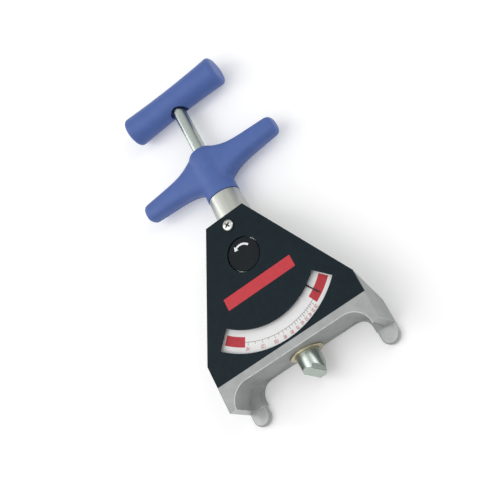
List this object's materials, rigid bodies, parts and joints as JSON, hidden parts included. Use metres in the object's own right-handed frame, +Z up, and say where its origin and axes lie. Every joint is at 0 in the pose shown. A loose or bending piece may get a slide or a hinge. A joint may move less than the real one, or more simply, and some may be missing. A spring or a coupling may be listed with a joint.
{
  "type": "belt tension gauge",
  "caption": "Hand gauge that hooks a drive belt between two feet and shows its pull on an arc dial, with a cast body, a cross handle and a sprung T-handle plunger.",
  "frame": {"origin": "centre of the footprint, on the plane that the gauge's flat back lies on", "axes": "+X across the face, +Y along the plunger from the feet to the T handle, +Z up out of the face"},
  "size_m": [0.12, 0.2522, 0.0361],
  "materials": {
    "housing": "satin, fine cast texture",
    "face_plate": "satin black",
    "dial": "matt white with a red block at each end of a red-brown scale",
    "lens": "clear plastic window",
    "pointer": "matt black",
    "knob": "satin black",
    "handle_plastic": "satin moulded blue",
    "bright_steel": "bright plated",
    "zinc_steel": "zinc plated, satin",
    "brass": "turned",
    "spring_steel": "drawn wire and strip",
    "fibre": "matt fibre"
  },
  "bodies": {
    "gauge_body": {"housing": "housing", "face_plate": "face_plate", "face_screw": "bright_steel", "dial_window": "lens", "dial_plate": "dial", "dial_screw_left": "zinc_steel", "dial_screw_right": "zinc_steel", "movement_plate": "zinc_steel", "movement_screw_1": "zinc_steel", "movement_screw_2": "zinc_steel", "movement_screw_3": "zinc_steel", "movement_screw_4": "zinc_steel", "stop_pin_low": "bright_steel", "stop_pin_high": "bright_steel", "pinion_bearing": "brass", "rack_guide": "brass", "neck_collar": "bright_steel", "neck_bush": "brass", "cross_handle": "handle_plastic", "hook_bush": "brass", "spring_seat": "zinc_steel", "stop_washer": "fibre", "main_spring": "spring_steel"},
    "rack_assembly": {"rack": "zinc_steel", "rack_carrier": "zinc_steel", "rack_screw": "zinc_steel"},
    "plunger": {"plunger_rod": "bright_steel", "thrust_washer": "brass", "rod_clip": "spring_steel", "hook_rod": "zinc_steel", "hook_pin": "spring_steel", "t_handle": "handle_plastic"},
    "pinion_shaft": {"pinion": "brass", "pinion_clip": "spring_steel"},
    "pointer_assembly": {"pointer": "pointer", "clutch_washer": "spring_steel", "reset_knob": "knob"}
  },
  "joints": [
    {"name": "plunger_slide", "type": "slide", "parent": "gauge_body", "child": "rack_assembly", "axis": [0, -1, 0], "range_m": [0, 0.022], "stiffness_N_per_m": 4000, "springref_m": -0.0015, "deforming": ["main_spring"]},
    {"name": "plunger_turn", "type": "hinge", "parent": "rack_assembly", "child": "plunger", "pos_m": [0, -0.00965, 0.013], "axis": [0, 1, 0], "continuous": true},
    {"name": "pinion_spin", "type": "hinge", "parent": "gauge_body", "child": "pinion_shaft", "pos_m": [0, -0.02615, 0.023], "axis": [0, 0, 1], "range_deg": [-212, 2]},
    {"name": "pointer_turn", "type": "hinge", "parent": "gauge_body", "child": "pointer_assembly", "pos_m": [0, -0.02615, 0.031], "axis": [0, 0, 1], "range_deg": [-74, 11]}
  ],
  "couplings": [
    {"joint": "pinion_spin", "follows": "plunger_slide", "rad_per_m": -166.67}
  ]
}
